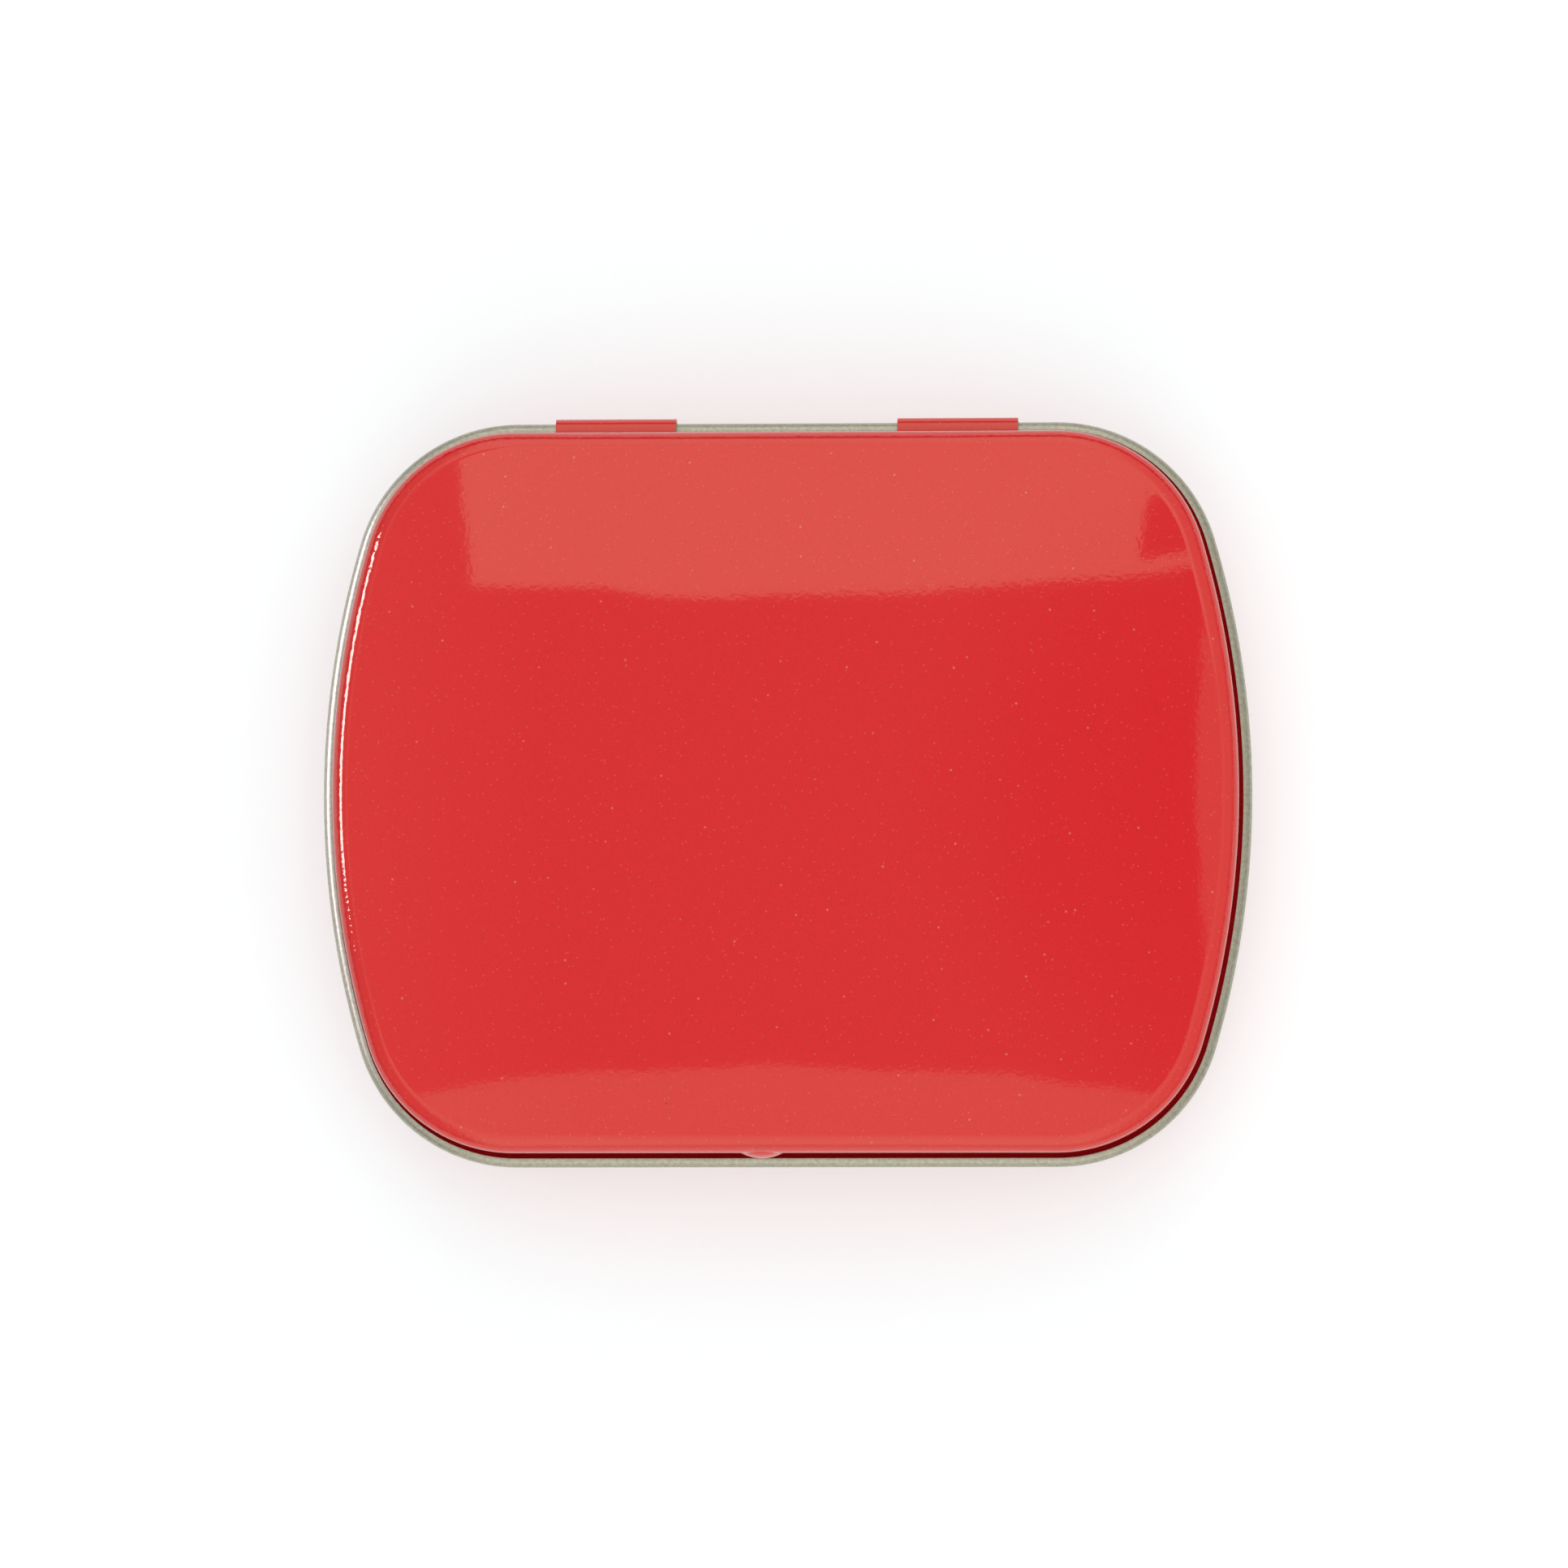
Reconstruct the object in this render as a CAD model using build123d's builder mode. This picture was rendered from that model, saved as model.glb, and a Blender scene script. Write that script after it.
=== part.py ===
import os
from math import atan2, copysign, cos, degrees, radians, sin, sqrt, tan

from build123d import *

# Hinged mint tin, shut, standing on its base. Millimetres.
# X runs across the tin, Y from the front to the hinge, Z up.
# The origin is on the resting plane, under the middle of the lid's bead.

# The whole tin. The bead round the lid's lower edge is its widest line.
span_x = 60.0
span_y = 48.1
height = 15.0
sheet = 0.25

# The bead's outer edge seen from above: straight at front and rear, slightly bowed at the sides
side_radius = 58.0
corner_radius = 10.6

# Lid: its depth is from the bead's centre line to the panel's edge
lid_depth = 4.5
crown_rise = 0.45
shoulder_radius = 1.1
bead_diameter = 1.09
bead_turn = 288.0

# Catch nub pressed out of the lid's front, left of the middle
nub_offset = 1.5
nub_width = 2.7
nub_rise = 0.33
nub_height = 2.5

# Base wall, and the ledge that goes in under the bead
wall_inset = 0.3
foot_radius = 1.6
ledge_gap = 0.06
ledge_bend = 0.4
neck_root = 0.12

# Neck, which stands inside the lid's skirt, and its rim curled inwards
neck_gap = 0.14
neck_rise = 2.7
rim_diameter = 0.9
rim_turn = 225.0

# Floor: a standing ring round a raised panel
foot_width = 3.2
panel_rise = 0.5
panel_slope_run = 0.6
panel_bend = 0.4

# Hinge tabs, bent outwards from the wall and rolled round the bead
tab_spread = 22.1
tab_width = 7.8
tab_gap = 0.07
tab_wrap = 194.0
tab_bend = 0.22
tab_root = 0.12
notch_gap = 0.15

# Slots in the lid's rear skirt, which take the tabs' ends. Heights are from the bead's centre line.
slot_low = 0.15
slot_high = 1.0
slot_inner_gap = 0.2
slot_outer_gap = 0.75

# How far a cut runs past what it cuts
overrun = 0.03

# Bends that run along the tin's edge are made of chords, each of which turns by this angle
form_chord = 30.0
bead_chord = 36.0
hidden_chord = 45.0

# The outline's arc centres, which every edge of the tin shares
half_x = span_x / 2
half_y = span_y / 2
side_x = half_x - side_radius
corner_y = half_y - corner_radius
corner_x = side_x + sqrt((side_radius - corner_radius) ** 2 - corner_y**2)
side_angle = degrees(atan2(corner_y, corner_x - side_x))

# The bead at the rear is the hinge's pin
bead_radius = bead_diameter / 2
hinge_y = half_y - bead_radius
panel_z = height - crown_rise
hinge_z = panel_z - lid_depth

# The skirt is inset from the bead's outer edge, and the neck from the skirt
skirt_inset = bead_diameter - sheet
skirt_y = half_y - skirt_inset
neck_inset = skirt_inset + sheet + neck_gap
rim_radius = rim_diameter / 2
rim_z = hinge_z + neck_rise - rim_radius
ledge_z = hinge_z - bead_radius - ledge_gap
wall_y = half_y - wall_inset

# The nub is part of a small sphere, whose centre lies behind the skirt
nub_radius = ((nub_width / 2) ** 2 + nub_rise**2) / (2 * nub_rise)
nub_y = nub_radius - nub_rise - skirt_y

# The tab's first bend, about its own centre, runs into the roll round the bead
wall_line = wall_y - sheet / 2
tab_radius = bead_radius + tab_gap + sheet / 2
bend_y = wall_line + tab_bend
bend_z = hinge_z - sqrt((tab_radius + tab_bend) ** 2 - (bend_y - hinge_y) ** 2)
bend_angle = degrees(atan2(hinge_z - bend_z, hinge_y - bend_y))
notch_z = bend_z - tab_root


def outline(inset):
    """Draw the tin's outline, brought in evenly from the bead's outer edge."""
    Line((-corner_x, half_y - inset), (corner_x, half_y - inset))
    Line((-corner_x, inset - half_y), (corner_x, inset - half_y))
    side = CenterArc((side_x, 0), side_radius - inset, -side_angle, 2 * side_angle)
    rear = CenterArc((corner_x, corner_y), corner_radius - inset, side_angle, 90 - side_angle)
    front = CenterArc((corner_x, -corner_y), corner_radius - inset, -90, 90 - side_angle)
    mirror([side, rear, front], about=Plane.YZ)


def face_points(bends, shift):
    """Points of one face of a bent sheet, shifted left of its middle line.

    A bend is its centre, the middle line's radius, the angle where it starts, its turn and its chord.
    """
    points = []
    for center, radius, start, turn, chord in bends:
        face_radius = radius - copysign(shift, shift * turn)
        chords = round(abs(turn) / chord)
        for step in range(chords + 1):
            angle = radians(start + turn * step / chords)
            points.append((center[0] + face_radius * cos(angle), center[1] + face_radius * sin(angle)))
    return points


def bent_sheet(bends):
    """Draw the section of a sheet that runs straight from each bend to the next."""
    Polyline(face_points(bends, sheet / 2) + face_points(bends, -sheet / 2)[::-1], close=True)


def nub_dome(radius, root_y):
    """The nub's sphere, kept only in front of its root."""
    with BuildPart() as dome:
        with Locations((-nub_offset, nub_y, hinge_z + nub_height)):
            Sphere(radius)
        split(bisect_by=Plane.XZ.offset(-root_y), keep=Keep.TOP)
    return dome.part


nub_form = nub_dome(nub_radius, sheet / 2 - skirt_y)
nub_hollow = nub_dome(nub_radius - sheet, sheet + overrun - skirt_y)

with BuildPart() as lid:
    # The sheet's edge: rounded shoulder, skirt, and bead rolled outwards till it nearly meets the skirt
    shoulder_line = shoulder_radius - sheet / 2
    shoulder_center = (skirt_y - shoulder_radius, panel_z - shoulder_radius)
    with BuildSketch(Plane.YZ.offset(-corner_x)):
        with BuildLine():
            bent_sheet([
                (shoulder_center, shoulder_line, 90, -90, form_chord),
                ((hinge_y, hinge_z), bead_radius - sheet / 2, 180, bead_turn, bead_chord),
            ])
        make_face()
    with BuildLine() as skirt_path:
        outline(skirt_inset)
    sweep(path=skirt_path.wire())

    # The panel: a shallow even dome, so a quarter of its rise is lost half-way to its level edge
    panel_inset = skirt_inset + shoulder_radius
    half_way_x = (half_x - panel_inset) / 2
    half_way_y = (half_y - panel_inset) / 2
    half_way_z = height - crown_rise / 4
    crown_points = [
        (0, 0, height),
        (half_way_x, 0, half_way_z),
        (-half_way_x, 0, half_way_z),
        (0, half_way_y, half_way_z),
        (0, -half_way_y, half_way_z),
    ]
    with BuildLine(Plane.XY.offset(panel_z)) as panel_edge:
        outline(panel_inset)
    crown = Face.make_surface(panel_edge.wire(), surface_points=crown_points)
    extrude(crown, amount=sheet, dir=(0, 0, -1))

    # The nub
    add(nub_form)
    add(nub_hollow, mode=Mode.SUBTRACT)

    # The slots reach further outwards than inwards, past the tabs' ends
    slot_width = slot_inner_gap + tab_width + slot_outer_gap
    slot_x = (tab_spread + slot_outer_gap - slot_inner_gap) / 2
    slot_z = hinge_z + (slot_low + slot_high) / 2
    with BuildSketch(Plane.XZ.offset(sheet / 2 - skirt_y)):
        with Locations((-slot_x, slot_z), (slot_x, slot_z)):
            Rectangle(slot_width, slot_high - slot_low)
    extrude(amount=sheet / 2 + overrun, both=True, mode=Mode.SUBTRACT)

lid.part.label = "lid"

with BuildPart() as base:
    # The sheet from the raised panel's edge down to the foot, up the wall, in over the ledge and up
    # the neck to the rolled rim
    ring_y = wall_y - foot_width
    panel_y = ring_y - panel_slope_run
    slope = degrees(atan2(panel_rise, panel_slope_run))
    slope_run = panel_bend * tan(radians(slope / 2))
    foot_line = foot_radius - sheet / 2
    ledge_line = ledge_bend - sheet / 2
    root_line = neck_root + sheet / 2
    rim_line = rim_radius - sheet / 2
    neck_line = half_y - neck_inset - sheet / 2
    panel_center = (panel_y - slope_run, panel_rise + sheet / 2 - panel_bend)
    ring_center = (ring_y + slope_run, sheet / 2 + panel_bend)
    foot_center = (wall_line - foot_line, foot_radius)
    ledge_center = (wall_line - ledge_line, ledge_z - ledge_bend)
    root_center = (neck_line + root_line, ledge_z - sheet / 2 + root_line)
    rim_center = (neck_line - rim_line, rim_z)
    with BuildSketch(Plane.YZ.offset(-corner_x)):
        with BuildLine():
            bent_sheet([
                (panel_center, panel_bend, 90, -slope, slope),
                (ring_center, panel_bend, -90 - slope, slope, slope),
                (foot_center, foot_line, -90, 90, form_chord),
                (ledge_center, ledge_line, 0, 90, hidden_chord),
                (root_center, root_line, 270, -90, hidden_chord),
                (rim_center, rim_line, 0, rim_turn, hidden_chord),
            ])
        make_face()
    with BuildLine() as wall_path:
        outline(wall_inset)
    sweep(path=wall_path.wire())

    # The raised panel
    with BuildSketch(Plane.XY.offset(panel_rise)):
        with BuildLine():
            outline(half_y - panel_center[0])
        make_face()
    extrude(amount=sheet)

    # The neck and its ledge are cut away where each tab is bent out of the sheet
    notch_front = neck_line - rim_diameter
    notch_depth = half_y - notch_front
    with BuildSketch(Plane.XY.offset(notch_z)):
        with Locations((-tab_spread / 2, notch_front), (tab_spread / 2, notch_front)):
            Rectangle(tab_width + 2 * notch_gap, notch_depth, align=(Align.CENTER, Align.MIN))
    extrude(amount=rim_z + rim_diameter - notch_z, mode=Mode.SUBTRACT)

    # Each tab runs straight on from the wall, bends out and goes up round the bead into its slot
    with BuildSketch(Plane.YZ):
        with BuildLine():
            Line((wall_line, notch_z), (wall_line, bend_z))
            CenterArc((bend_y, bend_z), tab_bend, 180, bend_angle - 180)
            CenterArc((hinge_y, hinge_z), tab_radius, bend_angle - 180, tab_wrap)
        trace(line_width=sheet)
    tab = extrude(amount=tab_width / 2, both=True, mode=Mode.PRIVATE)
    with Locations((-tab_spread / 2, 0, 0), (tab_spread / 2, 0, 0)):
        add(tab)

base.part.label = "base"

os.makedirs("parts", exist_ok=True)
export_step(lid.part, "parts/lid.step")
export_step(base.part, "parts/base.step")
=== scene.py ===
from math import atan2, cos, hypot, pi, radians, sin, sqrt

import bmesh
import bpy
from bpy.props import FloatProperty, FloatVectorProperty, PointerProperty
from mathutils import Matrix, Vector


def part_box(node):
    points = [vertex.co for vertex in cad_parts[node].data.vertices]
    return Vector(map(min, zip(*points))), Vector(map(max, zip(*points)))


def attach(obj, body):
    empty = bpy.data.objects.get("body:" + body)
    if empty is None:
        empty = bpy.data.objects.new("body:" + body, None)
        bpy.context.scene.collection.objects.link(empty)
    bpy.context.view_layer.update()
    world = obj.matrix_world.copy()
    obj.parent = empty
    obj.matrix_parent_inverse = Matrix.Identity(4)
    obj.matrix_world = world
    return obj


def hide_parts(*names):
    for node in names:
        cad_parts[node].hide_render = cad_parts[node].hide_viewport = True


bl_info = {
    "name": "Hinged mint tin",
    "version": (1, 0, 0),
    "blender": (4, 5, 0),
    "location": "3D View > Sidebar > Mint tin",
    "description": "Builds a small lacquered tin with a hinged lid, and the studio it stands in",
    "category": "Object",
}

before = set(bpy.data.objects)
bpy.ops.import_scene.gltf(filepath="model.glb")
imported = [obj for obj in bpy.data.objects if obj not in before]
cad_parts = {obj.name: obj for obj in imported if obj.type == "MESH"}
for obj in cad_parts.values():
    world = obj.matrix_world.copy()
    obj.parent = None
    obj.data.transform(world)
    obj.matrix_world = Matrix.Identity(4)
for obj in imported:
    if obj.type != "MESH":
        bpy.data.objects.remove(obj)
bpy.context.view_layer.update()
lid_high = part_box("lid")[1]
base_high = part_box("base")[1]

# The tin's smaller sizes, in metres, as in the part's own source
WALL_INSET = 0.0003
NECK_GAP = 0.00014
LEDGE_GAP = 0.00006
LEDGE_BEND = 0.0004
NECK_ROOT = 0.00012
PANEL_RISE = 0.0005
PANEL_SLOPE = 0.0006
PANEL_BEND = 0.0004
TAB_GAP = 0.00007
TAB_BEND = 0.00022
TAB_ROOT = 0.00012
NOTCH_GAP = 0.00015
NUB_OFFSET = 0.0015
NUB_HEIGHT = 0.0025
SLOT_LOW = 0.00015
SLOT_HIGH = 0.001
SLOT_INNER_GAP = 0.0002
SLOT_OUTER_GAP = 0.00075
RIM_TURN = radians(225)
TAB_WRAP = radians(194)

# The bead's edge ends over its top, which leaves a gap that shows the red inside of the roll
BEAD_TURN = radians(275)

# How much flatter the crown is towards the lid's corners
CORNER_LIFT = 0.25

# How finely the pieces are divided: along the tin's outline, round the bends and along the runs
# between them, and in rings over the panel and the floor
STRAIGHT_STEPS = 34
CORNER_STEPS = 26
SIDE_STEPS = 20
SHOULDER_STEPS = 16
SKIRT_STEPS = 8
BEAD_STEPS = 24
FLOOR_BEND_STEPS = 5
FLOOR_SLOPE_STEPS = 2
RING_STEPS = 3
FOOT_STEPS = 14
WALL_STEPS = 12
LEDGE_STEPS = 8
NECK_STEPS = 4
RIM_STEPS = 18
TAB_BEND_STEPS = 8
TAB_ROLL_STEPS = 24
TAB_WIDTH_STEPS = 16
LID_RINGS = 30
FLOOR_RINGS = 12

# The first ring lies just inside the edge, at this share of its size, so that the bend's smooth
# shading ends there
FIRST_RING = 0.998

# Points nearer than MERGE are one. A cut goes through a point that is nearer than CUT_MERGE
MERGE = 1e-6
CUT_MERGE = MERGE / 10

# The nub's sheet is divided more finely, out to NUB_MARGIN times its radius
NUB_CUTS = 4
NUB_MARGIN = 1.5

# How far below a notch the faces that it cuts reach
NOTCH_REACH = 0.0012

# The lacquer's ripples are strongest round the lid's shoulder, which was bent after coating. Each
# stop is a share of PEEL_REACH upwards to the crown's top, and a share of the strongest ripples,
# which are PEEL_GROWTH times the peel height
PEEL_REACH = 0.0015
PEEL_GROWTH = 60
PEEL_STOPS = ((0.0, 0.02), (0.35, 1.0), (0.62, 1.0), (0.655, 0.016))

# How far the red and the bare metal vary in lightness, each way
MOTTLE_SPAN = 0.15
CRYSTAL_SPAN = 0.35

# How many times as wide as its grain the metal's lighter and darker crystals are
CRYSTAL_WIDTH = 2

# Few octaves of noise keep the lacquer's ripples and spots rounded, and more make the metal's grain
# crisp. The other value is how strongly the finer octaves count
ROUND_DETAIL = 1.0
WAVE_CRISPNESS = 0.3
GRAIN_DETAIL = 3.0
GRAIN_CRISPNESS = 0.6

LACQUER_IOR = 1.6

# Flecks in the lacquer: spacing, core and edge radius in metres, colour and strength. The two
# pale rows are partly dust and partly painted glints of the orange peel. The last row is dark
# specks
FLECKS_AND_GLINTS = (
    (0.00045, 0.00002, 0.00008, "#F2B4AA", 0.13),
    (0.0014, 0.00002, 0.0001, "#F6C8BE", 0.3),
    (0.004, 0.00004, 0.00008, "#6A0C12", 0.7),
)

# The floor, in metres. It lies FLOOR_DROP under the foot, so that the two don't flicker where they
# meet. Its lift is the light that takes it to white for the camera
FLOOR_SIZE = 6.0
FLOOR_DROP = 0.00001
FLOOR_COLOUR = "#DEE6E6"
FLOOR_LIFT = 0.37
FLOOR_LIFT_COLOUR = "#FAFFFF"
PAPER_ROUGHNESS = 0.9
PAPER_FIBRE = 0.0005
PAPER_TOOTH = 0.00002
TOOTH_STRENGTH = 0.3

# The soft lamps, in metres. They hang at BOX_HEIGHT and reach out to BOX_REACH behind, at the right
# and in front. They leave a window over the tin, open to the left, and a small notch behind its
# right end. The lid reflects both as a deeper red
BOX_HEIGHT = 1.5
BOX_REACH = 0.45
WINDOW_LEFT = -0.2
WINDOW_RIGHT = 0.104
WINDOW_FRONT = -0.027
WINDOW_REAR = 0.1735
NOTCH_LEFT = 0.0745
NOTCH_RIGHT = 0.1
NOTCH_FRONT = 0.1796
NOTCH_REAR = 0.2048

# The sky is dim inside the square that the lamps reach out to, by how near a direction is to the
# middle of the dimness. DIM_BLEND softens the square's edge
DIM_AXIS = (0.07, 0.06, 1)
DIM_STOPS = ((0.96, 0.5), (0.974, 0.46), (0.984, 0.3), (0.9985, 0.3), (0.9999, 0.15))
DIM_BLEND = 0.01

# The sky fades towards the left, the right, low down behind and at the horizon, and is a little
# brighter in front and behind. Each row gives an axis, where along it the change starts and ends,
# and the level at each
SKY_FADES = (
    ((1, 0, 0), -0.45, -0.2, 0.4, 1.0),
    ((1, 0, 0), 0.1, 0.5, 1.0, 0.58),
    ((0, 1, -3), -0.1, 0.35, 1.0, 0.25),
    ((0, 1, 0), 0.3, 0.8, 1.0, 1.15),
    ((0, -1, 0), 0.3, 0.8, 1.0, 1.15),
    ((0, 0, 1), 0.1, 0.5, 0.6, 1.0),
)

# The small bright lamp at the left, a metre from the tin: its tilt from upright, its turn
# backwards, its size in metres and its colour
STRIP_TILT = radians(58)
STRIP_TURN = radians(10.5)
STRIP_WIDTH = 0.38
STRIP_LENGTH = 0.27
STRIP_COLOUR = "#EAE0FF"

# The camera, in metres, and its sensor, in millimetres
SENSOR_WIDTH = 36
CAMERA_DISTANCE = 0.68
CAMERA_REACH = 10
CAMERA_LEAN_RIGHT = radians(2.7)
CAMERA_LEAN_FRONT = radians(3.5)
VIEW_WIDTH = 0.10125
TARGET_X = -0.00021
TARGET_Y = 0.00069
TARGET_Z = 0.010


def srgb(hex_colour):
    """Turn an sRGB hex colour into Blender's linear red, green and blue."""
    channels = [int(hex_colour[place:place + 2], 16) / 255 for place in (1, 3, 5)]
    return [c / 12.92 if c <= 0.04045 else ((c + 0.055) / 1.055) ** 2.4 for c in channels]


class TinSizes(bpy.types.PropertyGroup):
    """The tin's driving sizes, in metres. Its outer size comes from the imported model."""

    sheet: FloatProperty(
        name="Sheet", description="Thickness of the tinplate",
        default=0.00025, unit="LENGTH", precision=5,
    )
    side_radius: FloatProperty(
        name="Side bow", description="Radius of the bowed sides, over the bead",
        default=0.058, unit="LENGTH",
    )
    corner_radius: FloatProperty(
        name="Corner", description="Radius of the corners, over the bead",
        default=0.0106, unit="LENGTH",
    )
    lid_depth: FloatProperty(
        name="Lid depth", description="From the panel's edge to the bead's middle",
        default=0.0045, unit="LENGTH",
    )
    crown_rise: FloatProperty(
        name="Crown", description="Rise of the lid's panel from its sides to its middle",
        default=0.00045, unit="LENGTH", precision=5,
    )
    shoulder_radius: FloatProperty(
        name="Shoulder", description="Radius between the lid's panel and skirt",
        default=0.0011, unit="LENGTH",
    )
    bead_diameter: FloatProperty(
        name="Bead", description="Thickness of the lid's rolled edge",
        default=0.00109, unit="LENGTH",
    )
    nub_width: FloatProperty(
        name="Catch nub", description="Width of the nub on the lid's front",
        default=0.0027, unit="LENGTH",
    )
    nub_rise: FloatProperty(
        name="Nub rise", description="How far the nub stands out",
        default=0.00033, unit="LENGTH", precision=5,
    )
    foot_radius: FloatProperty(
        name="Foot", description="Radius between the base's wall and floor",
        default=0.0016, unit="LENGTH",
    )
    foot_width: FloatProperty(
        name="Foot ring", description="Width of the ring round the raised floor",
        default=0.0032, unit="LENGTH",
    )
    rim_diameter: FloatProperty(
        name="Rim", description="Thickness of the neck's rolled rim", default=0.0009, unit="LENGTH",
    )
    tab_width: FloatProperty(
        name="Hinge tab", description="Width of a hinge tab", default=0.0078, unit="LENGTH",
    )
    tab_spread: FloatProperty(
        name="Tab spacing", description="Between the middles of the hinge tabs",
        default=0.0221, unit="LENGTH",
    )


class TinFinish(bpy.types.PropertyGroup):
    """Colours and surface qualities of the lacquer and the bare metal."""

    lacquer: FloatVectorProperty(
        name="Lacquer", description="Colour of the lacquer",
        subtype="COLOR", default=srgb("#E2202A"), min=0, max=1,
    )
    lacquer_gloss: FloatVectorProperty(
        name="Gloss tint", description="Tint that the lacquer gives to what it reflects",
        subtype="COLOR", default=srgb("#DCFFD8"), min=0, max=1,
    )
    lacquer_roughness: FloatProperty(
        name="Lacquer roughness", description="How blurred the lacquer's reflections are",
        default=0.02, subtype="FACTOR", min=0, max=1,
    )
    peel_size: FloatProperty(
        name="Orange peel", description="Width of the ripples in the lacquer",
        default=0.0003, unit="LENGTH", precision=5,
    )
    peel_height: FloatProperty(
        name="Peel height", description="Height of the ripples in the lacquer",
        default=0.0000003, unit="LENGTH", precision=8,
    )
    wave_size: FloatProperty(
        name="Panel waves", description="Width of the slight waves in the pressed sheet",
        default=0.008, unit="LENGTH",
    )
    wave_height: FloatProperty(
        name="Wave height", description="Height of the waves in the pressed sheet",
        default=0.000005, unit="LENGTH", precision=6,
    )
    mottle_size: FloatProperty(
        name="Mottle", description="Width of the faint spots in the red",
        default=0.0001, unit="LENGTH", precision=5,
    )
    tinplate: FloatVectorProperty(
        name="Tinplate", description="Colour of the bare metal",
        subtype="COLOR", default=srgb("#A9A592"), min=0, max=1,
    )
    tinplate_roughness: FloatProperty(
        name="Tinplate roughness", description="How blurred the metal's reflections are",
        default=0.4, subtype="FACTOR", min=0, max=1,
    )
    grain_size: FloatProperty(
        name="Tinplate grain", description="Width of the metal's fine grain",
        default=0.00012, unit="LENGTH", precision=5,
    )
    grain_height: FloatProperty(
        name="Grain height", description="Height of the metal's grain",
        default=0.00001, unit="LENGTH", precision=6,
    )


class StudioLook(bpy.types.PropertyGroup):
    """Levels of the soft lamps round the tin. Where a lamp is 1, it reflects as white."""

    rear_level: FloatProperty(
        name="Rear lamp", description="Level of the soft lamp behind", default=1.0,
    )
    front_level: FloatProperty(
        name="Front lamp", description="Level of the soft lamp in front", default=0.6,
    )
    right_level: FloatProperty(
        name="Right lamp", description="Level of the soft lamp at the right", default=0.5,
    )
    left_level: FloatProperty(
        name="Strip lamp", description="Level of the strip lamp at the left", default=20.0,
    )
    sky_level: FloatProperty(
        name="Sky", description="Level of the pale light all round", default=1.38,
    )


class TinForm:
    """Places that the pieces share, in metres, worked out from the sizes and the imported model."""

    def __init__(self, sizes):
        self.half_x = lid_high.x
        self.half_y = lid_high.y
        self.corner_y = self.half_y - sizes.corner_radius
        self.side_x = self.half_x - sizes.side_radius
        arc_reach = sizes.side_radius - sizes.corner_radius
        self.corner_x = self.side_x + sqrt(arc_reach**2 - self.corner_y**2)
        self.side_angle = atan2(self.corner_y, self.corner_x - self.side_x)
        self.bead_radius = sizes.bead_diameter / 2
        self.panel_z = lid_high.z - sizes.crown_rise
        self.hinge_y = self.half_y - self.bead_radius
        self.hinge_z = self.panel_z - sizes.lid_depth
        self.skirt_y = self.half_y - sizes.bead_diameter + sizes.sheet
        self.panel_y = self.skirt_y - sizes.shoulder_radius
        self.panel_x = self.half_x - self.half_y + self.panel_y
        self.shoulder_z = self.panel_z - sizes.shoulder_radius
        self.wall_y = self.half_y - WALL_INSET
        self.neck_y = self.skirt_y - sizes.sheet - NECK_GAP
        self.ledge_z = self.hinge_z - self.bead_radius - LEDGE_GAP
        self.rim_z = base_high.z - sizes.rim_diameter / 2
        self.bend_y = self.wall_y - sizes.sheet / 2 + TAB_BEND
        bend_reach = self.bead_radius + TAB_GAP + sizes.sheet / 2 + TAB_BEND
        self.bend_z = self.hinge_z - sqrt(bend_reach**2 - (self.bend_y - self.hinge_y) ** 2)
        self.notch_z = self.bend_z - TAB_ROOT


def carry(bm, geom, steps, move=(0, 0, 0), centre=(0, 0, 0), axis=(0, 0, 1), angle=0.0):
    """Draw geometry out along a straight move or round a centre, and give its far end."""
    step = Vector(move) / steps
    made = bmesh.ops.spin(
        bm, geom=geom, cent=centre, axis=axis, dvec=step, angle=angle, steps=steps,
        use_duplicate=False,
    )
    return made["geom_last"]


def bend(bm, end, y, z, angle, steps):
    """Carry the section's end round a bend centred at y, z. Plus turns from the rear upwards."""
    return carry(bm, end, steps, centre=(0, y, z), axis=(1, 0, 0), angle=angle)


def run(bm, end, y, z, steps):
    """Carry the section's end straight to y, z."""
    vertex = next(part for part in end if isinstance(part, bmesh.types.BMVert))
    return carry(bm, end, steps, move=(0, y - vertex.co.y, z - vertex.co.z))


def sweep_round(bm, form):
    """Carry the section from the rear's middle round a quarter of the tin, and mirror it twice."""
    section = bm.verts[:] + bm.edges[:]
    straight = carry(bm, section, STRAIGHT_STEPS, move=(form.corner_x, 0, 0))
    corner_centre = (form.corner_x, form.corner_y, 0)
    corner_turn = form.side_angle - pi / 2
    corner = carry(bm, straight, CORNER_STEPS, centre=corner_centre, angle=corner_turn)
    carry(bm, corner, SIDE_STEPS, centre=(form.side_x, 0, 0), angle=-form.side_angle)
    for axis in ("X", "Y"):
        whole = bm.verts[:] + bm.edges[:] + bm.faces[:]
        bmesh.ops.mirror(bm, geom=whole, axis=axis, merge_dist=MERGE)
    bmesh.ops.remove_doubles(bm, verts=bm.verts[:], dist=MERGE)


def fill_in(bm, edges, rings):
    """Fill a loop of edges with smaller and smaller copies of itself, closed at the middle."""
    reached = 1.0
    for share in [FIRST_RING] + [1 - ring / rings for ring in range(1, rings)]:
        made = bmesh.ops.extrude_edge_only(bm, edges=edges)["geom"]
        verts = [part for part in made if isinstance(part, bmesh.types.BMVert)]
        edges = [part for part in made if isinstance(part, bmesh.types.BMEdge) and part.is_boundary]
        bmesh.ops.scale(bm, vec=(share / reached, share / reached, 1), verts=verts)
        reached = share
    middle = Vector((0, 0, verts[0].co.z))
    bmesh.ops.pointmerge(bm, verts=verts, merge_co=middle)


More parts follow.
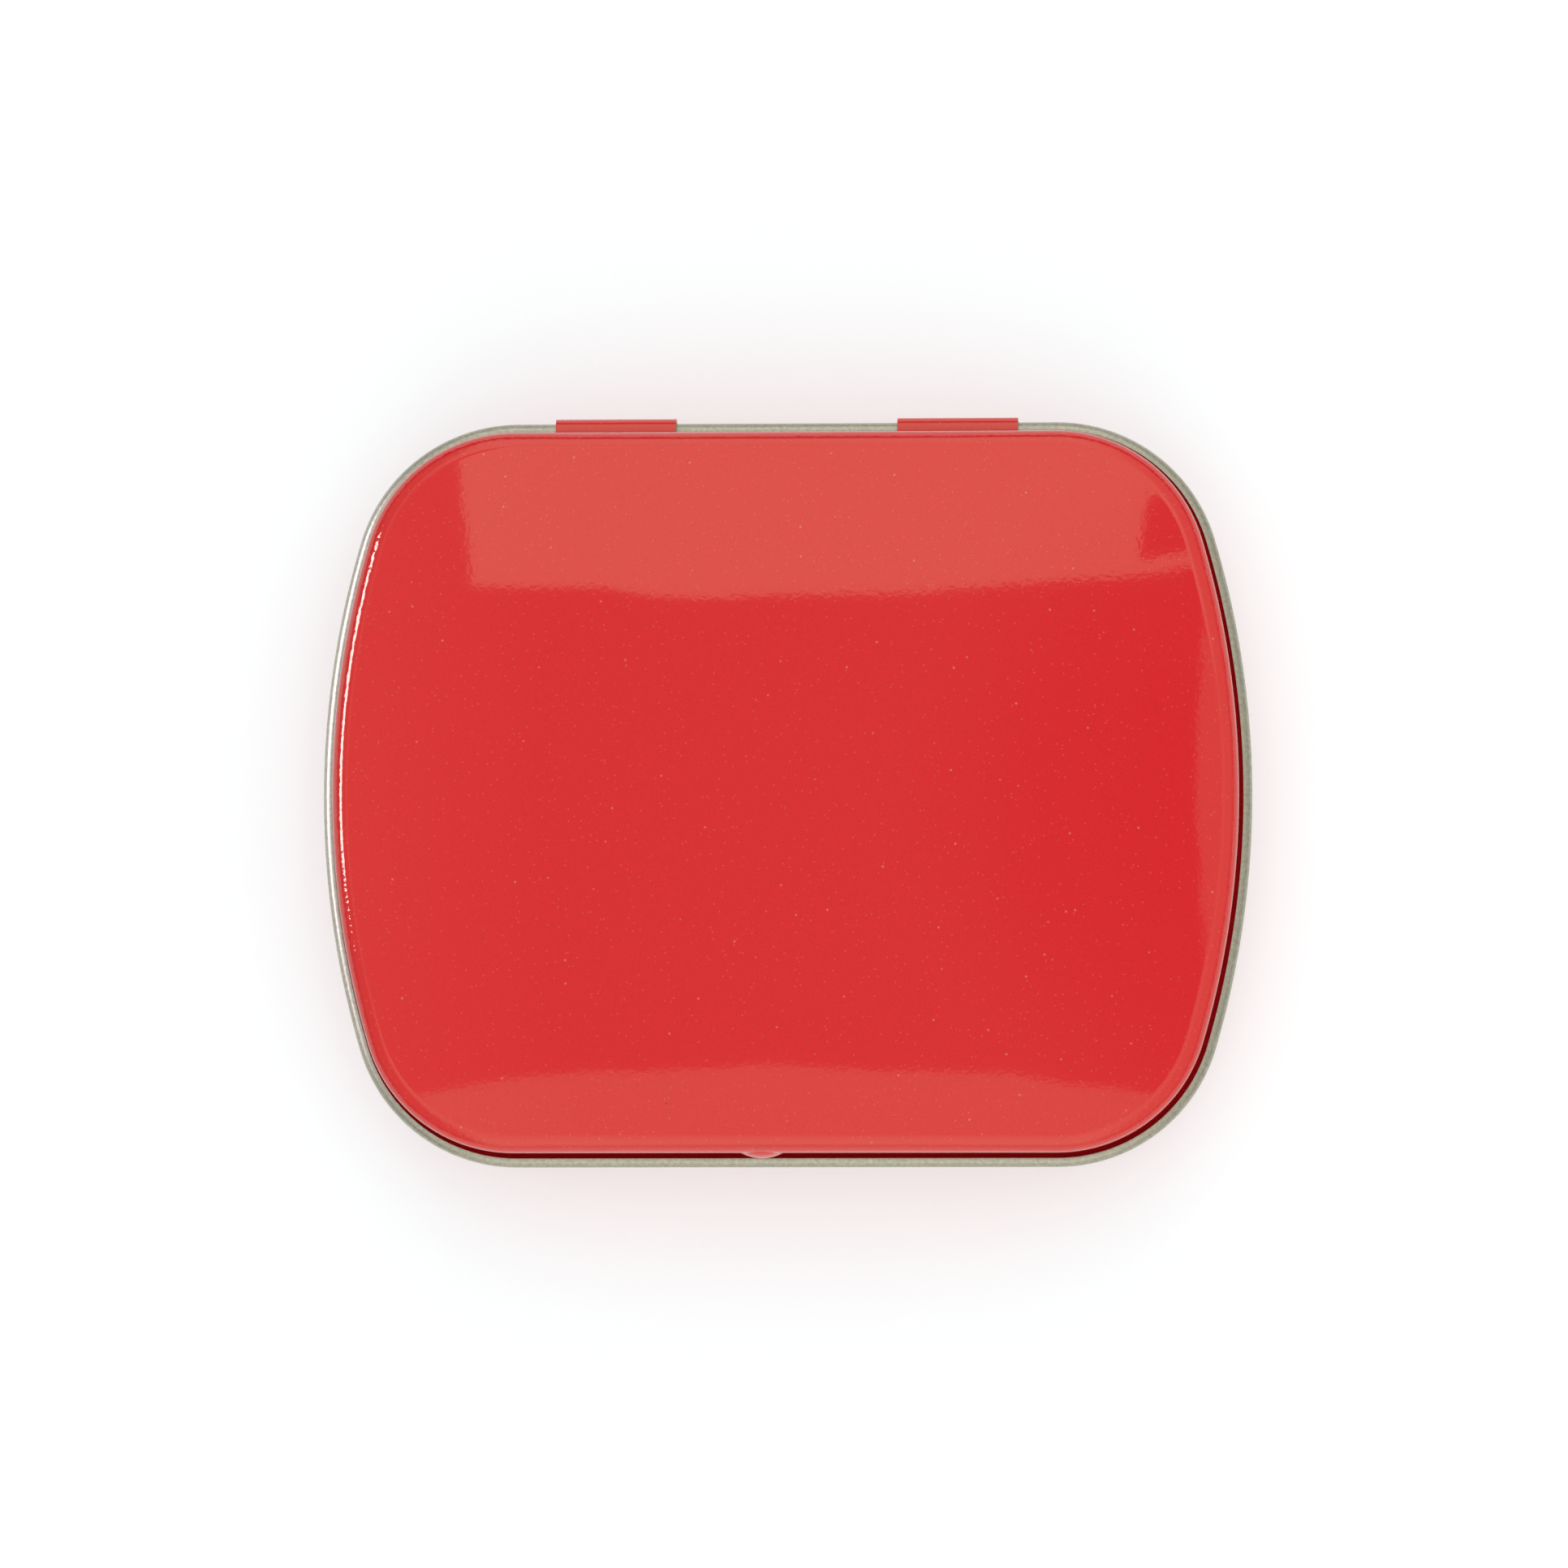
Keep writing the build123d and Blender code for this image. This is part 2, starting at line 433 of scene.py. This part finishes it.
def face_out(bm, outward):
    """Make all faces agree, and turn them round if the test, by area, finds them facing inwards."""
    bmesh.ops.recalc_face_normals(bm, faces=bm.faces[:])
    score = sum(
        outward(face.calc_center_median(), face.normal) * face.calc_area() for face in bm.faces
    )
    if score < 0:
        bmesh.ops.reverse_faces(bm, faces=bm.faces[:])


def cut_window(bm, faces, x_low, x_high, z_low, z_high):
    """Cut a square opening in faces of a wall that runs along X, and remove what is in it."""
    cuts = [
        ((x_low, 0, 0), (1, 0, 0)),
        ((x_high, 0, 0), (1, 0, 0)),
        ((0, 0, z_low), (0, 0, 1)),
        ((0, 0, z_high), (0, 0, 1)),
    ]
    for place, normal in cuts:
        edges = list({edge for face in faces for edge in face.edges})
        verts = list({vert for face in faces for vert in face.verts})
        made = bmesh.ops.bisect_plane(
            bm, geom=faces + edges + verts, dist=CUT_MERGE, plane_co=place, plane_no=normal
        )
        faces = [part for part in made["geom"] if isinstance(part, bmesh.types.BMFace)]
    inside = []
    for face in faces:
        centre = face.calc_center_median()
        if x_low < centre.x < x_high and z_low < centre.z < z_high:
            inside.append(face)
    if not inside:
        raise RuntimeError("The opening met no faces")
    bmesh.ops.delete(bm, geom=inside, context="FACES")


def make_piece(bm, name, body, node, materials):
    """Turn a finished mesh into an object that rides on a body and stands for a CAD node."""
    for edge in bm.edges:
        edge.smooth = not edge.is_boundary
    mesh = bpy.data.meshes.new(name)
    bm.to_mesh(mesh)
    bm.free()
    for material in materials:
        mesh.materials.append(material)
    mesh.shade_smooth()
    piece = bpy.data.objects.new(name, mesh)
    bpy.context.scene.collection.objects.link(piece)
    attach(piece, body)
    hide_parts(node)
    return piece


def thicken(piece, sheet):
    """Thicken a drawn outer face inwards, with bare metal inside and at its cut edges."""
    solid = piece.modifiers.new("Sheet", "SOLIDIFY")
    solid.thickness = sheet
    solid.offset = -1
    solid.use_even_offset = True
    solid.material_offset = 1
    solid.material_offset_rim = 1


def add_node(tree, kind, links=(), **settings):
    """Add a node with its settings, and set each input or link it from another node's output."""
    node = tree.nodes.new(kind)
    for name, value in settings.items():
        setattr(node, name, value)
    for target, source in links:
        if isinstance(source, bpy.types.NodeSocket):
            tree.links.new(source, node.inputs[target])
        else:
            node.inputs[target].default_value = source
    return node


def set_stops(ramp, stops):
    """Give a colour ramp a grey stop for each place and level, in rising order of place."""
    ramp.elements[0].position = stops[0][0]
    ramp.elements[1].position = stops[-1][0]
    for place, level in stops[1:-1]:
        ramp.elements.new(place)
    for element, (place, level) in zip(ramp.elements, stops):
        element.color = (level, level, level, 1)


def spread(colour, span):
    """Give a colour as much darker and as much lighter as the span says."""
    return [(*[channel * share for channel in colour], 1) for share in (1 - span, 1 + span)]


def new_material(name):
    """Start a material with nodes, and give its tree, its shader and its object coordinates."""
    material = bpy.data.materials.new(name)
    material.use_nodes = True
    tree = material.node_tree
    shader = tree.nodes["Principled BSDF"]
    coordinates = add_node(tree, "ShaderNodeTexCoord").outputs["Object"]
    return material, tree, shader, coordinates


def red_lacquer(finish):
    """Gloss lacquer, roller-coated on tinplate and baked: deep red under a clear, rippled shine."""
    material, tree, shader, place = new_material("glossy red lacquer")
    # The sheet's own slow waves bend the edges of reflections
    waves = add_node(tree, "ShaderNodeTexNoise", [
        ("Vector", place), ("Scale", 1 / finish.wave_size),
        ("Detail", ROUND_DETAIL), ("Roughness", WAVE_CRISPNESS),
    ])
    wavy = add_node(tree, "ShaderNodeBump", [
        ("Height", waves.outputs["Fac"]), ("Distance", finish.wave_height),
    ])
    # Orange peel frays the same edges finely, more so where the sheet was bent after coating
    peel = add_node(tree, "ShaderNodeTexNoise", [
        ("Vector", place), ("Scale", 1 / finish.peel_size), ("Detail", ROUND_DETAIL),
    ])
    height = add_node(tree, "ShaderNodeSeparateXYZ", [("Vector", place)])
    climb = add_node(tree, "ShaderNodeMapRange", [
        ("Value", height.outputs["Z"]),
        ("From Min", lid_high.z - PEEL_REACH), ("From Max", lid_high.z),
    ])
    growth = add_node(tree, "ShaderNodeValToRGB", [("Fac", climb.outputs["Result"])])
    set_stops(growth.color_ramp, PEEL_STOPS)
    depth = add_node(tree, "ShaderNodeMath", [
        (0, growth.outputs["Color"]), (1, finish.peel_height * PEEL_GROWTH),
    ], operation="MULTIPLY")
    ripple = add_node(tree, "ShaderNodeBump", [
        ("Height", peel.outputs["Fac"]), ("Distance", depth.outputs["Value"]),
        ("Normal", wavy.outputs["Normal"]),
    ])
    # Pigment, faintly mottled. The real spots are finer, and are drawn as coarse as they need to
    # show. Pale flecks baked into the colour are partly dust and partly painted glints of the
    # orange peel. A few dark specks are baked in too
    mottle = add_node(tree, "ShaderNodeTexNoise", [
        ("Vector", place), ("Scale", 1 / finish.mottle_size), ("Detail", ROUND_DETAIL),
    ])
    darker, lighter = spread(finish.lacquer, MOTTLE_SPAN)
    red = add_node(tree, "ShaderNodeMix", [
        ("Factor", mottle.outputs["Fac"]), ("A", darker), ("B", lighter),
    ], data_type="RGBA")
    colour = red.outputs["Result"]
    # Each row mixes flecks into the colour. The pale ones are partly dust and partly painted glints
    for spacing, core, edge, fleck_and_glint_colour, strength in FLECKS_AND_GLINTS:
        cells = add_node(tree, "ShaderNodeTexVoronoi", [("Vector", place), ("Scale", 1 / spacing)])
        mask = add_node(tree, "ShaderNodeMapRange", [
            ("Value", cells.outputs["Distance"]),
            ("From Min", core / spacing), ("From Max", edge / spacing),
            ("To Min", strength), ("To Max", 0.0),
        ])
        colour = add_node(tree, "ShaderNodeMix", [
            ("Factor", mask.outputs["Result"]), ("A", colour), ("B", (*srgb(fleck_and_glint_colour), 1)),
        ], data_type="RGBA").outputs["Result"]
    tree.links.new(colour, shader.inputs["Base Color"])
    tree.links.new(ripple.outputs["Normal"], shader.inputs["Normal"])
    shader.inputs["Roughness"].default_value = finish.lacquer_roughness
    shader.inputs["IOR"].default_value = LACQUER_IOR
    shader.inputs["Specular Tint"].default_value = (*finish.lacquer_gloss, 1)
    return material


def bare_tinplate(finish):
    """Matt tin melted on rolled steel: a soft grey shine, broken up by its fine crystals."""
    material, tree, shader, place = new_material("bare tinplate")
    grain = add_node(tree, "ShaderNodeTexNoise", [
        ("Vector", place), ("Scale", 1 / finish.grain_size),
        ("Detail", GRAIN_DETAIL), ("Roughness", GRAIN_CRISPNESS),
    ])
    rough = add_node(tree, "ShaderNodeBump", [
        ("Height", grain.outputs["Fac"]), ("Distance", finish.grain_height),
    ])
    patches = add_node(tree, "ShaderNodeTexNoise", [
        ("Vector", place), ("Scale", 1 / (finish.grain_size * CRYSTAL_WIDTH)),
    ])
    darker, lighter = spread(finish.tinplate, CRYSTAL_SPAN)
    metal = add_node(tree, "ShaderNodeMix", [
        ("Factor", patches.outputs["Fac"]), ("A", darker), ("B", lighter),
    ], data_type="RGBA")
    tree.links.new(metal.outputs["Result"], shader.inputs["Base Color"])
    tree.links.new(rough.outputs["Normal"], shader.inputs["Normal"])
    shader.inputs["Metallic"].default_value = 1
    shader.inputs["Roughness"].default_value = finish.tinplate_roughness
    return material


def find_material(name, make):
    """Give a finish that two pieces share, made the first time."""
    return bpy.data.materials.get(name) or make(bpy.context.scene.tin_finish)


def sheet_materials():
    """The lacquered face first, then the bare one."""
    return [
        find_material("glossy red lacquer", red_lacquer),
        find_material("bare tinplate", bare_tinplate),
    ]


class TIN_OT_lid_shell(bpy.types.Operator):
    """Build the lid's crowned panel, shoulder and skirt, with its catch nub and hinge slots"""

    bl_idname = "tin.lid_shell"
    bl_label = "Lid shell"

    def execute(self, context):
        sizes = context.scene.tin_sizes
        form = TinForm(sizes)
        bm = bmesh.new()
        end = [bm.verts.new((0, form.panel_y, form.panel_z))]
        end = bend(bm, end, form.panel_y, form.shoulder_z, -pi / 2, SHOULDER_STEPS)
        run(bm, end, form.skirt_y, form.hinge_z, SKIRT_STEPS)
        sweep_round(bm, form)
        low = form.panel_z - MERGE
        top = [e for e in bm.edges if e.is_boundary and all(v.co.z > low for v in e.verts)]
        fill_in(bm, top, LID_RINGS)
        face_out(bm, lambda centre, normal: normal.z)
        self.press_crown(bm, form, sizes)
        self.press_nub(bm, form, sizes)
        self.cut_slots(bm, form, sizes)
        piece = make_piece(bm, "lid_shell", "lid", "lid", sheet_materials())
        thicken(piece, sizes.sheet)
        return {"FINISHED"}

    def press_crown(self, bm, form, sizes):
        """Raise the panel as a shallow dome, flatter at the corners, with the shoulder after it."""
        for vert in bm.verts:
            share = (vert.co.z - form.shoulder_z) / sizes.shoulder_radius
            across = (vert.co.x / form.panel_x) ** 2
            along = (vert.co.y / form.panel_x) ** 2
            rise = 1 - across - along + CORNER_LIFT * across * along
            vert.co.z += max(share, 0) * sizes.crown_rise * rise

    def press_nub(self, bm, form, sizes):
        """Press a small round dome outwards from the front of the skirt, up into the shoulder."""
        reach = sizes.nub_width / 2

        def share(vert):
            if vert.co.y > -form.panel_y:
                return NUB_MARGIN
            return hypot(vert.co.x + NUB_OFFSET, vert.co.z - form.hinge_z - NUB_HEIGHT) / reach

        around = [e for e in bm.edges if all(share(v) < NUB_MARGIN for v in e.verts)]
        bmesh.ops.subdivide_edges(bm, edges=around, cuts=NUB_CUTS, use_grid_fill=True)
        for vert in bm.verts:
            vert.co.y -= sizes.nub_rise * max(1 - share(vert) ** 2, 0)

    def cut_slots(self, bm, form, sizes):
        """Cut the slots in the rear of the skirt that take the ends of the hinge tabs."""
        near_x = sizes.tab_spread / 2 - sizes.tab_width / 2 - SLOT_INNER_GAP
        far_x = sizes.tab_spread / 2 + sizes.tab_width / 2 + SLOT_OUTER_GAP
        for x_low, x_high in ((-far_x, -near_x), (near_x, far_x)):
            wall = [f for f in bm.faces if all(v.co.y > form.skirt_y - MERGE for v in f.verts)]
            cut_window(bm, wall, x_low, x_high, form.hinge_z + SLOT_LOW, form.hinge_z + SLOT_HIGH)


class TIN_OT_lid_bead(bpy.types.Operator):
    """Build the lid's edge, rolled outwards into a bead that shows the sheet's bare inner face"""

    bl_idname = "tin.lid_bead"
    bl_label = "Lid bead"

    def execute(self, context):
        sizes = context.scene.tin_sizes
        form = TinForm(sizes)
        bm = bmesh.new()
        end = [bm.verts.new((0, form.skirt_y, form.hinge_z))]
        bend(bm, end, form.hinge_y, form.hinge_z, BEAD_TURN, BEAD_STEPS)
        sweep_round(bm, form)

        def to_curl(centre, normal):
            return (form.hinge_z - centre.z) * normal.z

        face_out(bm, to_curl)
        piece = make_piece(bm, "lid_bead", "lid", "lid", sheet_materials())
        thicken(piece, sizes.sheet)
        return {"FINISHED"}


class TIN_OT_base_shell(bpy.types.Operator):
    """Build the base: raised floor, standing ring, foot, wall, ledge, neck and rolled rim"""

    bl_idname = "tin.base_shell"
    bl_label = "Base shell"

    def execute(self, context):
        sizes = context.scene.tin_sizes
        form = TinForm(sizes)
        bm = bmesh.new()
        slope = atan2(PANEL_RISE, PANEL_SLOPE)
        inner_bend = PANEL_BEND - sizes.sheet / 2
        outer_bend = PANEL_BEND + sizes.sheet / 2
        ring_y = form.wall_y - sizes.foot_width
        run_off = PANEL_BEND * sin(slope) / (1 + cos(slope))
        floor_y = ring_y - PANEL_SLOPE - run_off
        rim_radius = sizes.rim_diameter / 2

        end = [bm.verts.new((0, floor_y, PANEL_RISE))]
        end = bend(bm, end, floor_y, PANEL_RISE - inner_bend, -slope, FLOOR_BEND_STEPS)
        bend_y = ring_y + run_off
        slope_end_y = bend_y - outer_bend * sin(slope)
        slope_end_z = outer_bend * (1 - cos(slope))
        end = run(bm, end, slope_end_y, slope_end_z, FLOOR_SLOPE_STEPS)
        end = bend(bm, end, bend_y, outer_bend, slope, FLOOR_BEND_STEPS)
        foot_y = form.wall_y - sizes.foot_radius
        end = run(bm, end, foot_y, 0, RING_STEPS)
        end = bend(bm, end, foot_y, sizes.foot_radius, pi / 2, FOOT_STEPS)
        wall_top = form.ledge_z - LEDGE_BEND
        end = run(bm, end, form.wall_y, wall_top, WALL_STEPS)
        end = bend(bm, end, form.wall_y - LEDGE_BEND, wall_top, pi / 2, LEDGE_STEPS)
        root_y = form.neck_y + NECK_ROOT
        end = run(bm, end, root_y, form.ledge_z, 1)
        end = bend(bm, end, root_y, form.ledge_z + NECK_ROOT, -pi / 2, NECK_STEPS)
        end = run(bm, end, form.neck_y, form.rim_z, NECK_STEPS)
        bend(bm, end, form.neck_y - rim_radius, form.rim_z, RIM_TURN, RIM_STEPS)
        sweep_round(bm, form)

        floor_edge = [
            e for e in bm.edges if e.is_boundary and abs(e.verts[0].co.z - PANEL_RISE) < MERGE
        ]
        fill_in(bm, floor_edge, FLOOR_RINGS)
        face_out(bm, lambda centre, normal: -normal.z if centre.z < form.ledge_z / 2 else 0)
        half = sizes.tab_width / 2 + NOTCH_GAP
        top = base_high.z + sizes.sheet
        for middle in (-sizes.tab_spread / 2, sizes.tab_spread / 2):
            upper = [f for f in bm.faces if self.is_behind(f, form)]
            cut_window(bm, upper, middle - half, middle + half, form.notch_z, top)
        piece = make_piece(bm, "base_shell", "base", "base", sheet_materials())
        thicken(piece, sizes.sheet)
        return {"FINISHED"}

    def is_behind(self, face, form):
        """True for a face of the rear's upper part."""
        low = form.notch_z - NOTCH_REACH
        return all(vert.co.y > form.corner_y and vert.co.z > low for vert in face.verts)


class TIN_OT_hinge_tabs(bpy.types.Operator):
    """Build the two hinge tabs, bent out of the base's wall and rolled round the lid's bead"""

    bl_idname = "tin.hinge_tabs"
    bl_label = "Hinge tabs"

    def execute(self, context):
        sizes = context.scene.tin_sizes
        form = TinForm(sizes)
        bm = bmesh.new()
        tab_low = sizes.tab_spread / 2 - sizes.tab_width / 2
        bend_angle = atan2(form.hinge_z - form.bend_z, form.hinge_y - form.bend_y)
        end = [bm.verts.new((tab_low, form.wall_y, form.notch_z))]
        end = run(bm, end, form.wall_y, form.bend_z, 1)
        end = bend(bm, end, form.bend_y, form.bend_z, bend_angle - pi, TAB_BEND_STEPS)
        bend(bm, end, form.hinge_y, form.hinge_z, TAB_WRAP, TAB_ROLL_STEPS)
        carry(bm, bm.verts[:] + bm.edges[:], TAB_WIDTH_STEPS, move=(sizes.tab_width, 0, 0))
        bmesh.ops.remove_doubles(bm, verts=bm.verts[:], dist=MERGE)
        bmesh.ops.mirror(bm, geom=bm.verts[:] + bm.edges[:] + bm.faces[:], axis="X", merge_dist=0)

        def from_pin(centre, normal):
            return (centre.y - form.hinge_y) * normal.y + (centre.z - form.hinge_z) * normal.z

        face_out(bm, from_pin)
        piece = make_piece(bm, "hinge_tabs", "base", "base", sheet_materials())
        thicken(piece, sizes.sheet)
        return {"FINISHED"}


class TIN_OT_stage(bpy.types.Operator):
    """Set up the pale floor, the sky, the soft lamps and the camera"""

    bl_idname = "tin.stage"
    bl_label = "Studio"

    def execute(self, context):
        look = context.scene.tin_look
        self.add_floor(context)
        self.add_sky(context, look)
        self.add_lamps(context, look)
        self.add_camera(context)
        context.scene.view_settings.view_transform = "Standard"
        return {"FINISHED"}

    def add_floor(self, context):
        """A large sheet of white paper, just under the tin's foot."""
        bm = bmesh.new()
        bmesh.ops.create_grid(bm, x_segments=1, y_segments=1, size=FLOOR_SIZE / 2)
        bmesh.ops.translate(bm, vec=(0, 0, -FLOOR_DROP), verts=bm.verts[:])
        mesh = bpy.data.meshes.new("floor")
        bm.to_mesh(mesh)
        bm.free()
        mesh.materials.append(pale_floor())
        floor = bpy.data.objects.new("floor", mesh)
        context.scene.collection.objects.link(floor)

    def add_sky(self, context, look):
        """An even pale sky, dim behind the lamps and towards some sides."""
        world = bpy.data.worlds.new("pale sky")
        world.use_nodes = True
        tree = world.node_tree
        direction = add_node(tree, "ShaderNodeTexCoord").outputs["Generated"]
        upwards = add_node(tree, "ShaderNodeVectorMath", [
            (0, direction), (1, Vector(DIM_AXIS).normalized()),
        ], operation="DOT_PRODUCT")
        dimness = add_node(tree, "ShaderNodeValToRGB", [("Fac", upwards.outputs["Value"])])
        set_stops(dimness.color_ramp, DIM_STOPS)
        # How far out a direction gets in each metre upwards tells if it meets the lamps' square
        height = add_node(tree, "ShaderNodeSeparateXYZ", [("Vector", direction)])
        rise = add_node(tree, "ShaderNodeMath", [
            (0, 1.0), (1, height.outputs["Z"]),
        ], operation="DIVIDE")
        flat = add_node(tree, "ShaderNodeVectorMath", [
            (0, direction), ("Scale", rise.outputs["Value"]),
        ], operation="SCALE")
        unsigned = add_node(tree, "ShaderNodeVectorMath", [
            (0, flat.outputs["Vector"]),
        ], operation="ABSOLUTE")
        sides = add_node(tree, "ShaderNodeSeparateXYZ", [("Vector", unsigned.outputs["Vector"])])
        reach = add_node(tree, "ShaderNodeMath", [
            (0, sides.outputs["X"]), (1, sides.outputs["Y"]),
        ], operation="MAXIMUM")
        edge = BOX_REACH / BOX_HEIGHT
        outside = add_node(tree, "ShaderNodeMapRange", [
            ("Value", reach.outputs["Value"]),
            ("From Min", edge - DIM_BLEND), ("From Max", edge + DIM_BLEND),
        ])
        level = add_node(tree, "ShaderNodeMix", [
            ("Factor", outside.outputs["Result"]), ("A", dimness.outputs["Color"]), ("B", 1.0),
        ], data_type="FLOAT").outputs["Result"]
        for axis, start, end, start_level, end_level in SKY_FADES:
            along = add_node(tree, "ShaderNodeVectorMath", [
                (0, direction), (1, axis),
            ], operation="DOT_PRODUCT")
            fade = add_node(tree, "ShaderNodeMapRange", [
                ("Value", along.outputs["Value"]), ("From Min", start), ("From Max", end),
                ("To Min", start_level), ("To Max", end_level),
            ], interpolation_type="SMOOTHSTEP")
            level = add_node(tree, "ShaderNodeMath", [
                (0, level), (1, fade.outputs["Result"]),
            ], operation="MULTIPLY").outputs["Value"]
        background = tree.nodes["Background"]
        tree.links.new(level, background.inputs["Color"])
        background.inputs["Strength"].default_value = look.sky_level
        context.scene.world = world

    def add_lamps(self, context, look):
        """Soft boxes overhead, round an open window, and a bright strip at the left."""
        rear, front, right = look.rear_level, look.front_level, look.right_level
        boxes = [
            ("rear left", WINDOW_LEFT, NOTCH_LEFT, WINDOW_REAR, BOX_REACH, rear),
            ("rear right", NOTCH_LEFT, BOX_REACH, NOTCH_REAR, BOX_REACH, rear),
            ("notch front", NOTCH_LEFT, BOX_REACH, WINDOW_REAR, NOTCH_FRONT, rear),
            ("notch right", NOTCH_RIGHT, BOX_REACH, NOTCH_FRONT, NOTCH_REAR, rear),
            ("right", WINDOW_RIGHT, BOX_REACH, WINDOW_FRONT, WINDOW_REAR, right),
            ("front", -BOX_REACH, BOX_REACH, -BOX_REACH, WINDOW_FRONT, front),
        ]
        for name, x_low, x_high, y_low, y_high, level in boxes:
            place = Vector(((x_low + x_high) / 2, (y_low + y_high) / 2, BOX_HEIGHT))
            self.add_lamp(context, name, place, (0, 0, -1), x_high - x_low, y_high - y_low, level)
        outwards = sin(STRIP_TILT)
        toward = Vector((-outwards * cos(STRIP_TURN), outwards * sin(STRIP_TURN), cos(STRIP_TILT)))
        strip = self.add_lamp(
            context, "strip", toward, -toward, STRIP_WIDTH, STRIP_LENGTH, look.left_level,
            srgb(STRIP_COLOUR),
        )
        # It shines only in gloss, so it throws no shadow
        strip.visible_diffuse = False

    def add_lamp(self, context, name, place, facing, width, length, level, colour=(1, 1, 1)):
        """Add a flat soft lamp whose face shines at the given level."""
        lamp = bpy.data.lights.new(name + " lamp", "AREA")
        lamp.shape = "RECTANGLE"
        lamp.size = width
        lamp.size_y = length
        lamp.energy = level * pi * width * length
        lamp.color = colour
        holder = bpy.data.objects.new(name + " lamp", lamp)
        context.scene.collection.objects.link(holder)
        holder.location = place
        holder.rotation_euler = Vector(facing).to_track_quat("-Z", "Y").to_euler()
        return holder

    def add_camera(self, context):
        """The photograph's view, from almost straight above."""
        camera = bpy.data.cameras.new("camera")
        lean_x = sin(CAMERA_LEAN_RIGHT)
        lean_y = -sin(CAMERA_LEAN_FRONT)
        back = Vector((lean_x, lean_y, sqrt(1 - lean_x**2 - lean_y**2)))
        target = Vector((TARGET_X, TARGET_Y, TARGET_Z))
        camera.sensor_width = SENSOR_WIDTH
        camera.lens = camera.sensor_width * CAMERA_DISTANCE / VIEW_WIDTH
        camera.clip_end = CAMERA_REACH
        holder = bpy.data.objects.new("camera", camera)
        context.scene.collection.objects.link(holder)
        holder.location = target + back * CAMERA_DISTANCE
        right = Vector((0, 1, 0)).cross(back).normalized()
        holder.rotation_euler = Matrix((right, back.cross(right), back)).transposed().to_euler()
        context.scene.camera = holder


def pale_floor():
    """Matt white paper, lifted to white for the camera while the tin's shadow stays."""
    material, tree, shader, place = new_material("matt white paper")
    fibres = add_node(tree, "ShaderNodeTexNoise", [
        ("Vector", place), ("Scale", 1 / PAPER_FIBRE),
    ])
    tooth = add_node(tree, "ShaderNodeBump", [
        ("Height", fibres.outputs["Fac"]), ("Distance", PAPER_TOOTH), ("Strength", TOOTH_STRENGTH),
    ])
    tree.links.new(tooth.outputs["Normal"], shader.inputs["Normal"])
    shader.inputs["Base Color"].default_value = (*srgb(FLOOR_COLOUR), 1)
    shader.inputs["Roughness"].default_value = PAPER_ROUGHNESS
    path = add_node(tree, "ShaderNodeLightPath")
    direct = add_node(tree, "ShaderNodeMath", [
        (0, path.outputs["Is Camera Ray"]), (1, path.outputs["Is Glossy Ray"]),
    ], operation="MAXIMUM")
    seen = add_node(tree, "ShaderNodeMath", [
        (0, direct.outputs["Value"]), (1, path.outputs["Is Transmission Ray"]),
    ], operation="MAXIMUM")
    lift = add_node(tree, "ShaderNodeMath", [
        (0, seen.outputs["Value"]), (1, FLOOR_LIFT),
    ], operation="MULTIPLY")
    tree.links.new(lift.outputs["Value"], shader.inputs["Emission Strength"])
    shader.inputs["Emission Color"].default_value = (*srgb(FLOOR_LIFT_COLOUR), 1)
    return material


class VIEW3D_PT_mint_tin(bpy.types.Panel):
    """Sizes, finishes and steps for the mint tin"""

    bl_idname = "VIEW3D_PT_mint_tin"
    bl_label = "Mint tin"
    bl_space_type = "VIEW_3D"
    bl_region_type = "UI"
    bl_category = "Mint tin"

    def draw(self, context):
        layout = self.layout
        for group in (context.scene.tin_sizes, context.scene.tin_finish, context.scene.tin_look):
            column = layout.column(align=True)
            for name in group.__annotations__:
                column.prop(group, name)
        for operator in OPERATORS:
            layout.operator(operator.bl_idname)


GROUPS = {"tin_sizes": TinSizes, "tin_finish": TinFinish, "tin_look": StudioLook}
OPERATORS = (TIN_OT_lid_shell, TIN_OT_lid_bead, TIN_OT_base_shell, TIN_OT_hinge_tabs, TIN_OT_stage)


def register():
    for cls in (*GROUPS.values(), *OPERATORS, VIEW3D_PT_mint_tin):
        bpy.utils.register_class(cls)
    for name, group in GROUPS.items():
        setattr(bpy.types.Scene, name, PointerProperty(type=group))


def unregister():
    for name in GROUPS:
        delattr(bpy.types.Scene, name)
    for cls in (VIEW3D_PT_mint_tin, *reversed(OPERATORS), *GROUPS.values()):
        bpy.utils.unregister_class(cls)


def main():
    """Build the tin and its studio."""
    register()
    bpy.ops.tin.lid_shell()
    bpy.ops.tin.lid_bead()
    bpy.ops.tin.base_shell()
    bpy.ops.tin.hinge_tabs()
    bpy.ops.tin.stage()


if __name__ == "__main__":
    main()
